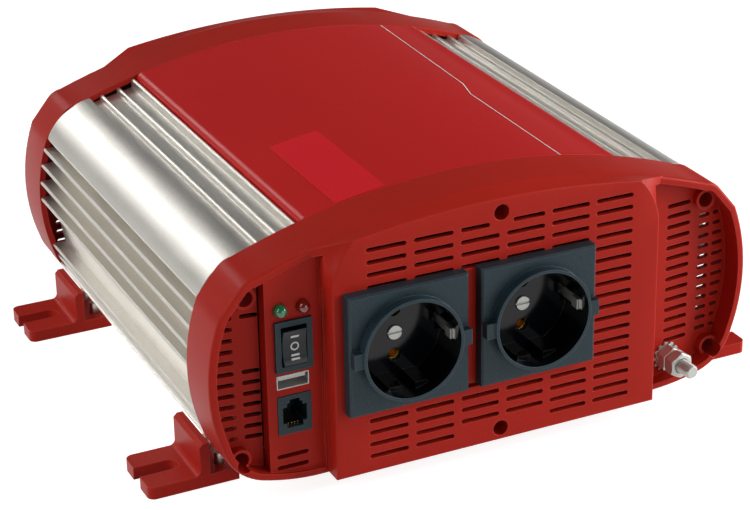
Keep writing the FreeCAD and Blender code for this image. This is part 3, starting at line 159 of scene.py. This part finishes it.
def edge_effect():
    """Edges made a little paler, partly as rubbing and partly as painted highlight: where the rounded normal
    leans away from the true one.
    """
    tree, given, result = shared_effect(
        "edge_rub_and_highlight", {"Reach": 0.0005, "Gain": 4.0}, {"Mask": "NodeSocketFloat"}
    )
    rounded = add(tree, "ShaderNodeBevel", {"Radius": given.outputs["Reach"]}, samples=4)
    true_normal = add(tree, "ShaderNodeNewGeometry").outputs["Normal"]
    normals = {0: rounded.outputs[0], 1: true_normal}
    along = add(tree, "ShaderNodeVectorMath", normals, operation="DOT_PRODUCT")
    lean = math_node(tree, "SUBTRACT", 1.0, along.outputs["Value"])
    mask = math_node(tree, "MULTIPLY", lean, given.outputs["Gain"], clamp=True)
    tree.links.new(mask, result.inputs["Mask"])
    return tree


def mottle_effect():
    """Slow, cloudy change over a surface, such as flow marks and handling."""
    tree, given, result = shared_effect(
        "slow_mottle", {"Clouds per metre": 25.0, "Contrast": 1.0}, {"Cloud": "NodeSocketFloat"}
    )
    place = add(tree, "ShaderNodeTexCoord").outputs["Object"]
    noise = add(
        tree,
        "ShaderNodeTexNoise",
        {"Vector": place, "Scale": given.outputs["Clouds per metre"], "Detail": 4.0, "Distortion": 0.6},
    )
    centred = math_node(tree, "SUBTRACT", noise.outputs["Fac"], 0.5)
    stretched = math_node(tree, "MULTIPLY", centred, given.outputs["Contrast"])
    tree.links.new(math_node(tree, "ADD", stretched, 0.5, clamp=True), result.inputs["Cloud"])
    return tree


GRAIN = grain_effect()
EDGE = edge_effect()
MOTTLE = mottle_effect()


def use(tree, effect, **inputs):
    """Place a shared effect in a material; an underscore in an input's name stands for a space."""
    node = tree.nodes.new("ShaderNodeGroup")
    node.node_tree = effect
    for name, value in inputs.items():
        node.inputs[name.replace("_", " ")].default_value = value
    return node


def finish_material(name, colour, rough, metallic=0.0, grain=2500.0, depth=0.15, tone=0.06, edge_wear_and_highlight=0.15,
                    clouds=25.0, cloudiness=0.08, specular=0.5, coat=0.0, edge_wear_and_highlight_colour=None, spread=0.06,
                    transmission=0.0, ior=1.5):
    """A finish: a base colour with grain, slow clouds and paler edges that are partly wear and partly painted
    highlight, and roughness that follows them.
    """
    material = bpy.data.materials.new(name)
    material.use_nodes = True
    tree = material.node_tree
    shader = tree.nodes["Principled BSDF"]
    base = (*colour, 1.0)
    pale = (*(edge_wear_and_highlight_colour or [min(1.0, c * 1.5 + 0.03) for c in colour]), 1.0)
    dark = (*[c * (1.0 - cloudiness) for c in colour], 1.0)
    bright = (*[min(1.0, c * (1.0 + cloudiness)) for c in colour], 1.0)
    speck = (*[c * (1.0 - tone * 3.0) for c in colour], 1.0)
    fine = use(tree, GRAIN, Grains_per_metre=grain, Depth=depth, Cells=0.5)
    cloud = use(tree, MOTTLE, Clouds_per_metre=clouds, Contrast=1.6).outputs["Cloud"]
    edge = use(tree, EDGE, Reach=0.0006, Gain=3.0).outputs["Mask"]
    clouded = blend_colours(tree, cloud, dark, bright)
    speckled = blend_colours(tree, ramp(tree, fine.outputs["Tone"], 0.35, 0.75), speck, clouded)
    # Paler edges: partly wear and partly painted highlight along rounded edges.
    worn_and_lit_edges = blend_colours(tree, math_node(tree, "MULTIPLY", edge, edge_wear_and_highlight), speckled, pale)
    tree.links.new(worn_and_lit_edges, shader.inputs["Base Color"])
    wander = math_node(tree, "MULTIPLY", math_node(tree, "SUBTRACT", cloud, 0.5), spread)
    shine = math_node(tree, "MULTIPLY", edge, -0.06)
    tree.links.new(
        math_node(tree, "ADD", math_node(tree, "ADD", wander, shine), rough, clamp=True),
        shader.inputs["Roughness"],
    )
    tree.links.new(fine.outputs["Normal"], shader.inputs["Normal"])
    shader.inputs["Metallic"].default_value = metallic
    shader.inputs["Specular IOR Level"].default_value = specular
    shader.inputs["Coat Weight"].default_value = coat
    shader.inputs["Coat Roughness"].default_value = 0.12
    shader.inputs["Transmission Weight"].default_value = transmission
    shader.inputs["IOR"].default_value = ior
    return material


FINISH = {
    # The orange edge colour here is painted highlight along the moulding's rounded lips and edges.
    "red_moulding": finish_material(
        "red_moulding", (0.48, 0.020, 0.011), 0.42, specular=0.13, tone=0.05, edge_wear_and_highlight=0.6,
        edge_wear_and_highlight_colour=(0.86, 0.13, 0.08)),
    "red_cover": finish_material(
        "red_cover", (0.64, 0.014, 0.013), 0.34, grain=3200.0, depth=0.06, specular=0.25),
    "blasted_aluminium": finish_material(
        "blasted_aluminium", (0.88, 0.85, 0.79), 0.42, metallic=1.0, grain=2200.0, depth=0.35, tone=0.05,
        cloudiness=0.03, edge_wear_and_highlight_colour=(0.95, 0.94, 0.90), edge_wear_and_highlight=0.5),
    "slate_plastic": finish_material(
        "slate_plastic", (0.014, 0.036, 0.047), 0.46, grain=1300.0, depth=0.40, tone=0.14, edge_wear_and_highlight=0.45,
        edge_wear_and_highlight_colour=(0.15, 0.21, 0.25), specular=0.3, clouds=60.0, cloudiness=0.12),
    "cup_black": finish_material(
        "cup_black", (0.003, 0.004, 0.006), 0.12, grain=3000.0, depth=0.03, specular=0.3),
    # Dark grey painted shade for what lies inside the housing, so it looks dark through the vents.
    "interior_shade_grey": finish_material("interior_shade_grey", (0.05, 0.05, 0.048), 0.6, metallic=0.5, depth=0.1),
    "black_plastic": finish_material("black_plastic", (0.016, 0.018, 0.020), 0.38, depth=0.2),
    "rocker_black": finish_material(
        "rocker_black", (0.006, 0.010, 0.013), 0.24, depth=0.05, specular=0.3),
    "green_lens": finish_material(
        "green_lens", (0.004, 0.30, 0.11), 0.04, depth=0.0, transmission=0.35, ior=1.45,
        spread=0.02, coat=1.0),
    "red_lens": finish_material(
        "red_lens", (0.34, 0.016, 0.004), 0.04, depth=0.0, transmission=0.35, ior=1.45,
        spread=0.02, coat=1.0),
    "plated_steel": finish_material(
        "plated_steel", (0.60, 0.60, 0.56), 0.24, metallic=0.35, depth=0.04, tone=0.02, edge_wear_and_highlight=0.4),
    "zinc_steel": finish_material(
        "zinc_steel", (0.52, 0.50, 0.46), 0.34, metallic=1.0, depth=0.12, clouds=180.0, cloudiness=0.18),
    "brass_contact": finish_material("brass_contact", (0.78, 0.55, 0.20), 0.22, metallic=1.0, depth=0.05),
    "white_plastic": finish_material("white_plastic", (0.80, 0.79, 0.75), 0.36, depth=0.08),
    "red_insulator": finish_material("red_insulator", (0.42, 0.012, 0.010), 0.42),
    "black_insulator": finish_material("black_insulator", (0.014, 0.014, 0.016), 0.42),
    "circuit_board": finish_material(
        "circuit_board", (0.02, 0.13, 0.05), 0.35, clouds=300.0, cloudiness=0.5, depth=0.05),
    "ferrite": finish_material("ferrite", (0.05, 0.05, 0.055), 0.55, depth=0.4),
    "winding_copper": finish_material("winding_copper", (0.62, 0.24, 0.10), 0.30, metallic=1.0, depth=0.1),
    "capacitor_sleeve": finish_material("capacitor_sleeve", (0.015, 0.02, 0.05), 0.28, depth=0.05),
    "fuse_plastic": finish_material("fuse_plastic", (0.75, 0.42, 0.03), 0.25, depth=0.05),
    "insulation": finish_material("insulation", (0.65, 0.58, 0.35), 0.5, depth=0.1),
    "label_red": finish_material(
        "label_red", (0.82, 0.016, 0.026), 0.4, depth=0.02, grain=3200.0, specular=0.2, edge_wear_and_highlight=0.0),
    "white_ink": finish_material("white_ink", (0.96, 0.94, 0.92), 0.45, depth=0.03),
}


# ---------------------------------------------------------------- mesh helpers
def settle(name, mesh, finish, body=HOUSING, stands_for=()):
    """Put a finished mesh on the stage as a piece of the object."""
    piece = bpy.data.objects.new(name, mesh)
    bpy.context.scene.collection.objects.link(piece)
    mesh.materials.clear()
    mesh.materials.append(FINISH[finish])
    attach(piece, body)
    if stands_for:
        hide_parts(*stands_for)
    return piece


def corners_of(source):
    """A mesh's corners as rows of x, y, z."""
    points = np.empty(len(source.vertices) * 3)
    source.vertices.foreach_get("co", points)
    return points.reshape(-1, 3)


def merged_copy(node, name, whole_faces):
    """A node's mesh with its loose triangles joined and, if asked, its flat faces made whole."""
    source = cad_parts[node].data
    points = corners_of(source)
    corners = np.empty(len(source.polygons) * 3, dtype=int)
    source.polygons.foreach_get("vertices", corners)
    weld = 2e-6
    _, first, where = np.unique(np.round(points / weld), axis=0, return_index=True, return_inverse=True)
    triangles = where.reshape(-1)[corners].reshape(-1, 3)
    whole = (triangles != np.roll(triangles, 1, axis=1)).all(axis=1)
    mesh = bpy.data.meshes.new(name)
    mesh.from_pydata(points[first], [], triangles[whole].tolist())
    if whole_faces:
        work = bmesh.new()
        work.from_mesh(mesh)
        bmesh.ops.dissolve_limit(
            work, angle_limit=math.radians(0.4), verts=work.verts, edges=work.edges,
            use_dissolve_boundaries=False)
        work.to_mesh(mesh)
        work.free()
    mesh.validate()
    return mesh


def soften(node, finish, width=0.0, segments=2, body=HOUSING):
    """A node's own shape with smooth curves and, where a width is given, rounded edges."""
    mesh = merged_copy(node, node + "_skin", whole_faces=width > 0.0)
    piece = settle(mesh.name, mesh, finish, body, (node,))
    mesh.shade_smooth()
    mesh.set_sharp_from_angle(angle=CURVE_ANGLE)
    if width > 0.0:
        bevel = piece.modifiers.new("edges", "BEVEL")
        bevel.segments = segments
        bevel.harden_normals = True
        bevel.width = width
        bevel.limit_method = "ANGLE"
        bevel.angle_limit = CURVE_ANGLE
    return piece


def woven(name, points, loops=True, rings=True):
    """A mesh through a grid of points: rows follow each other, and each row closes on itself if it loops.

    With rings the last row joins the first, so that the surface is a closed ring; without, a flat
    facet closes each end of a looping surface.
    """
    rows, columns = points.shape[:2]
    index = np.arange(rows * columns).reshape(rows, columns)
    down = np.roll(index, -1, axis=0) if rings else index[1:]
    here = index if rings else index[:-1]
    if loops:
        quads = np.stack([here, np.roll(here, -1, axis=1), np.roll(down, -1, axis=1), down], axis=2)
    else:
        quads = np.stack([here[:, :-1], here[:, 1:], down[:, 1:], down[:, :-1]], axis=2)
    faces = quads.reshape(-1, 4).tolist()
    if loops and not rings:
        faces += [index[0].tolist(), index[-1][::-1].tolist()]
    mesh = bpy.data.meshes.new(name)
    mesh.from_pydata(points.reshape(-1, 3), [], faces)
    work = bmesh.new()
    work.from_mesh(mesh)
    bmesh.ops.recalc_face_normals(work, faces=work.faces)
    work.to_mesh(mesh)
    work.free()
    mesh.shade_smooth()
    mesh.set_sharp_from_angle(angle=math.radians(32))
    return mesh


def node_points(node, side=0.0):
    """A node's corners as rows of x, y, z; a side of -1 or 1 keeps those left or right of the middle."""
    points = corners_of(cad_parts[node].data)
    return points[points[:, 0] * side >= 0.0] if side else points


def round_axis(points):
    """The middle of a long round thing and its direction, the one its corners spread along most."""
    middle = (points.max(axis=0) + points.min(axis=0)) / 2
    along = np.linalg.svd(points - points.mean(axis=0), full_matrices=False)[2][0]
    return middle, along if along[1] > 0 else -along


def levels_along(points, middle, along):
    """The stations at which a thing's flat faces stand along a line, to the nearest 0.05 mm."""
    return np.unique(np.round((points - middle) @ along / (0.05 * MM))) * 0.05 * MM


def about(middle, along, stations, radii, angles):
    """Points at p = middle + s * along + r * (cos(a) * u + sin(a) * v), with u and v square to along."""
    u = np.cross(along, (0.0, 0.0, 1.0))
    u /= np.linalg.norm(u)
    v = np.cross(u, along)
    spin = np.cos(angles)[..., None] * u + np.sin(angles)[..., None] * v
    return middle + stations[..., None] * along + radii[..., None] * spin


def thread(name, node, radius, pitch, outward, slot_name, side=0.0):
    """A stud with a rolled thread and a chamfered tip, standing for a plain round node.

    r = radius - 0.3 * pitch * w, where w runs from 0 to 1 and back once in each turn of the helix
    s / pitch + a / (2 * pi), with flats about an eighth of a pitch wide; within 0.8 pitch of the tip
    r is at most radius - 0.75 * (0.8 * pitch - distance from the tip).
    """
    points = node_points(node, side)
    middle, along = round_axis(points)
    along = along * outward
    reach = np.abs((points - middle) @ along).max()
    stations = np.linspace(-reach, reach, int(2 * reach / pitch * 8))[:, None]
    angles = np.linspace(0, 2 * np.pi, 40, endpoint=False)[None, :]
    turn = (stations / pitch + angles / (2 * np.pi)) % 1.0
    wave = np.clip(np.abs(2 * turn - 1) * 1.3 - 0.15, 0.0, 1.0)
    radii = radius - 0.3 * pitch * wave
    radii = np.minimum(radii, radius - 0.75 * np.clip(0.8 * pitch - (reach - stations), 0.0, None))
    stations, angles = np.broadcast_arrays(stations, angles)
    mesh = woven(name, about(middle, along, stations, radii, angles), rings=False)
    return settle(name, mesh, slot_name, stands_for=(node,))


def ring_piece(name, middle, along, outline, teeth=0, twist=0.0):
    """A ring with a cross-section outline of (station, radius) pairs; teeth widen and twist its rim.

    With teeth, the rim's radii swell by 1.2 mm on each tooth, and the rim leans by
    twist * sin(teeth * a) along the axis.
    """
    angles = np.linspace(0, 2 * np.pi, 144, endpoint=False)[None, :]
    stations, radii = (np.array(column)[:, None] for column in zip(*outline))
    rim = radii > radii.max() - 0.1 * MM
    if teeth:
        swell = np.clip(1.6 * np.cos(teeth * angles) + 0.3, 0.0, 1.0)
        stations = stations + rim * twist * np.sin(teeth * angles)
        radii = radii + rim * 1.2 * MM * swell
    stations, radii, angles = np.broadcast_arrays(stations, radii, angles)
    return settle(name, woven(name, about(middle, along, stations, radii, angles)), "plated_steel")


def hex_nut(name, middle, along, start, end, across, bore):
    """A chamfered hexagon nut between two stations.

    The outer wall is r(a, s) = min(across / 2 / cos(a'), 0.47 * across + 1.73 * d), where a' is the
    angle from the nearest flat's middle and d the distance from the nearer end.
    """
    angles = np.linspace(0, 2 * np.pi, 144, endpoint=False)[None, :]
    depth = np.array([0.0, 0.08, 0.16, 0.25, 0.35, 0.5, 0.7, 1.0])[:, None] * MM
    flat = across / 2 / np.cos((angles + np.pi / 6) % (np.pi / 3) - np.pi / 6)
    wall = np.minimum(flat, 0.47 * across + 1.73 * depth)
    lead = 0.45 * MM
    lip = np.full_like(angles, bore + lead)
    inner = np.full_like(angles, bore)
    radii = np.concatenate([inner, lip, wall, wall[::-1], lip, inner])
    entry, leaving = [[start + lead], [start]], [[end], [end - lead]]
    stations = np.concatenate([entry, start + depth, end - depth[::-1], leaving]) + 0 * angles
    angles = np.broadcast_to(angles, radii.shape)
    return settle(name, woven(name, about(middle, along, stations, radii, angles)), "plated_steel")


def side_profile(side):
    """A blasted aluminium side; its inner wall, turned to the middle, is painted dark grey as painted shade,
    so the inside looks dark through the vents.
    """
    piece = soften(side + "_side_profile", "blasted_aluminium", 0.4 * MM, 3)
    piece.data.materials.append(FINISH["interior_shade_grey"])
    low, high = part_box(side + "_side_profile")
    bottom, top = low.z + 12.0 * MM, high.z - 14.0 * MM
    # Faces turned to the middle get the dark grey painted shade.
    for face in piece.data.polygons:
        inward = face.normal.x * (-1.0 if face.center.x > 0 else 1.0)
        if inward > 0.3 and bottom < face.center.z < top:
            face.material_index = 1


def socket_housing(side):
    """A socket's slate plate and collar; what faces the plug inside the cup is glossy black."""
    piece = soften(side + "_socket_housing", "slate_plastic", MOULDED_EDGE, 3)
    piece.data.materials.append(FINISH["cup_black"])
    low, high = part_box(side + "_socket_housing")
    middle = (low + high) / 2
    cup_radius = 19.75 * MM
    collar_rim = low.y + 0.2 * MM
    across = [math.hypot(corner.co.x - middle.x, corner.co.z - middle.z) for corner in piece.data.vertices]
    for face in piece.data.polygons:
        within = max(across[corner] for corner in face.vertices) < cup_radius
        if within and face.center.y > collar_rim:
            face.material_index = 1


def printed(name, x, y, height, finish, body=HOUSING):
    """A thin skin of ink or film over the grid x, y at the given height, closed by its own thickness."""
    mesh = woven(name, np.stack([x, y, height], axis=2), loops=False, rings=False)
    mesh.shade_flat()
    piece = settle(name, mesh, finish, body)
    skin = piece.modifiers.new("film", "SOLIDIFY")
    skin.thickness = FILM
    skin.offset = 0.0
    return piece


def earth_stud():
    """The M6 earth stud with its two nuts and the star washer under them."""
    middle, along = round_axis(node_points("earth_stud"))
    thread("earth_stud_thread", "earth_stud", 3.0 * MM, 1.0 * MM, -1, "plated_steel")
    levels = levels_along(node_points("earth_nuts"), middle, along)
    nuts = [
        hex_nut("earth_nut_1", middle, along, levels[0], levels[1], 10.0 * MM, 3.0 * MM),
        hex_nut("earth_nut_2", middle, along, levels[2], levels[3], 10.0 * MM, 3.0 * MM),
    ]
    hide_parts("earth_nuts")
    near, far = levels_along(node_points("earth_star_washer"), middle, along)
    bore, root, rim = 3.3 * MM, 5.0 * MM, 5.2 * MM
    outline = [(near, bore), (near, root), (near, rim), (far, rim), (far, root), (far, bore)]
    star = ring_piece("earth_washer_star", middle, along, outline, teeth=12, twist=0.3 * MM)
    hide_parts("earth_star_washer")


def battery_terminal(side, sign):
    """An M8 brass stud on one side of the middle, with its washer and its nut."""
    thread(side + "_stud_thread", side + "_stud", 4.0 * MM, 1.25 * MM, 1, "brass_contact", sign)
    middle, along = round_axis(node_points(side + "_stud"))
    levels = levels_along(node_points("terminal_nuts", sign), middle, along)
    low_washer, high_washer, low_nut, high_nut = levels
    bore, rim, corner = 4.3 * MM, 8.0 * MM, 0.2 * MM
    outline = [
        (low_washer, bore), (low_washer, rim - corner), (low_washer + corner, rim),
        (high_washer - corner, rim), (high_washer, rim - corner), (high_washer, bore),
    ]
    washer = ring_piece(side + "_washer", middle, along, outline)
    nut = hex_nut(side + "_nut", middle, along, low_nut, high_nut, 13.0 * MM, 4.0 * MM)
    if sign > 0:
        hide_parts("terminal_nuts")


def rocker_mark(name, across, up):
    """A white mark just proud of the rocker's hollow face, y = bottom - R + sqrt(R * R - z * z)."""
    low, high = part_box("rocker")
    centre = (low + high) / 2
    hollow = FACE_Y + HOLLOW_BOTTOM - HOLLOW_RADIUS + np.sqrt(HOLLOW_RADIUS ** 2 - up ** 2) - PROUD
    printed(name, centre.x + across, hollow, centre.z + up, "white_ink", ROCKER)


def rocker_marks():
    """One bar and a pair of bars, 3.4 mm wide, above and below a ring."""
    for name, up, high in (("one", 4.2, 0.9), ("two_low", -5.0, 0.8), ("two_high", -3.5, 0.8)):
        across, rise = np.meshgrid(np.linspace(-1.7, 1.7, 5), np.linspace(up - high / 2, up + high / 2, 5))
        rocker_mark("rocker_mark_" + name, across * MM, rise * MM)
    reach, angle = np.meshgrid(np.linspace(1.15, 1.75, 4), np.linspace(0, 2 * np.pi, 49))
    rocker_mark("rocker_mark_ring", reach * np.cos(angle) * MM, reach * np.sin(angle) * MM)


def cover_height(x):
    """A height just proud of the crowned cover's, z = top - R + sqrt(R * R - x * x)."""
    return COVER_TOP + PROUD - COVER_RADIUS + np.sqrt(COVER_RADIUS ** 2 - x ** 2)


def cover_print():
    """A plain red label and a white keyline along the crowned cover, both without any lettering."""
    across, along = np.meshgrid(np.linspace(-54.5, -33.0, 44) * MM, FACE_Y + np.linspace(32.0, 97.0, 5) * MM)
    printed("cover_label", across, along, cover_height(across), "label_red")
    turns = np.array([(43.0, 31.0), (43.7, 109.0), (47.3, 123.0), (50.4, 212.0)]) * MM
    breadth = np.linspace(-0.25, 0.25, 3)[None, :] * MM
    across, along = turns[:, :1] + breadth, FACE_Y + turns[:, 1:] + 0 * breadth
    printed("cover_keyline", across, along, cover_height(across), "white_ink")


# ---------------------------------------------------------------- pieces
soften("front_cap", "red_moulding")
soften("rear_cap", "red_moulding")
for side in ("left", "right"):
    side_profile(side)
    socket_housing(side)
    soften(side + "_earth_clips", "plated_steel", 0.2 * MM)
    for end in ("front", "rear"):
        soften("%s_%s_foot" % (end, side), "red_moulding")
soften("top_cover", "red_cover", 0.8 * MM, 3)
soften("switch_housing", "slate_plastic", 0.5 * MM)
soften("rocker", "rocker_black", 0.6 * MM, 3, body=ROCKER)
soften("usb_shell", "plated_steel", 0.12 * MM)
soften("usb_tongue", "white_plastic", 0.2 * MM)
soften("data_jack", "slate_plastic", 0.2 * MM)
for colour in ("green", "red"):
    soften(colour + "_lamp", colour + "_lens", 0.1 * MM)
earth_stud()
battery_terminal("negative", -1.0)
battery_terminal("positive", 1.0)
rocker_marks()
cover_print()

for node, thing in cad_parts.items():
    if thing.hide_render:
        continue
    slot_name = thing.data.materials[0].name
    # Heat bars get the dark grey painted shade, so the inside looks dark through the vents.
    thing.material_slots[0].material = FINISH["interior_shade_grey" if node.endswith("_heat_bar") else slot_name]


# ---------------------------------------------------------------- stage
def pale_floor():
    """A matt floor that glows to the camera and in glossy reflections, so that it meets the surround."""
    floor_mesh = bpy.data.meshes.new("floor")
    reach = 6.0
    floor_mesh.from_pydata(
        [(-reach, -reach, 0), (reach, -reach, 0), (reach, reach, 0), (-reach, reach, 0)], [], [(0, 1, 2, 3)])
    floor = bpy.data.objects.new("floor", floor_mesh)
    bpy.context.scene.collection.objects.link(floor)
    paper = finish_material(
        "paper", (0.50, 0.50, 0.50), 0.9, depth=0.0, tone=0.0, cloudiness=0.01, specular=0.1)
    path = add(paper.node_tree, "ShaderNodeLightPath").outputs
    glow = math_node(paper.node_tree, "MAXIMUM", path["Is Camera Ray"], path["Is Glossy Ray"])
    floor_shader = paper.node_tree.nodes["Principled BSDF"]
    strength = math_node(paper.node_tree, "MULTIPLY", glow, 0.85)
    paper.node_tree.links.new(strength, floor_shader.inputs["Emission Strength"])
    floor_shader.inputs["Emission Color"].default_value = (1.0, 1.0, 1.0, 1.0)
    floor_mesh.materials.append(paper)


def soft_lights():
    """Four rectangular lights that look at the object's middle; places and sizes in metres, watts."""
    centre = (CAD_BOX[0] + CAD_BOX[1]) / 2
    for name, place, size, power in (
        ("left_box", (-1.4, -0.05, 0.90), (0.6, 1.4), 13.0),
        ("front_box", (0.5, -2.2, 0.7), (1.6, 1.0), 10.5),
        ("right_box", (1.5, -0.55, 0.42), (0.9, 1.4), 38.0),
        ("back_box", (-0.7, 1.66, 0.95), (0.9, 0.5), 7.0),
    ):
        light = bpy.data.lights.new(name, "AREA")
        light.shape = "RECTANGLE"
        light.size, light.size_y = size
        light.energy = power
        lamp = bpy.data.objects.new(name, light)
        bpy.context.scene.collection.objects.link(lamp)
        lamp.location = place
        lamp.rotation_euler = (centre - lamp.location).to_track_quat("-Z", "Y").to_euler()


def white_surround():
    """A surround that is white to the camera and lights the object only a little."""
    world = bpy.data.worlds.new("surround")
    bpy.context.scene.world = world
    world.use_nodes = True
    tree = world.node_tree
    background = tree.nodes["Background"]
    seen = add(tree, "ShaderNodeLightPath").outputs["Is Camera Ray"]
    background.inputs["Color"].default_value = (1.0, 1.0, 1.0, 1.0)
    strength = add(tree, "ShaderNodeMapRange", {"Value": seen, "To Min": 0.09, "To Max": 1.0})
    tree.links.new(strength.outputs["Result"], background.inputs["Strength"])


def viewpoint():
    """The camera, in front of the object, to its left and above it."""
    camera_data = bpy.data.cameras.new("camera")
    camera_data.sensor_width = 36.0
    camera_data.lens = 106.451
    camera_data.shift_x = -0.05415
    camera_data.shift_y = -0.04772
    camera = bpy.data.objects.new("camera", camera_data)
    bpy.context.scene.collection.objects.link(camera)
    camera.location = (-0.365797, -0.793584, 0.437548)
    camera.rotation_euler = [math.radians(angle) for angle in (66.36914, 0.58852, -26.29172)]
    bpy.context.scene.camera = camera
    bpy.context.scene.view_settings.view_transform = "Standard"


pale_floor()
soft_lights()
white_surround()
viewpoint()
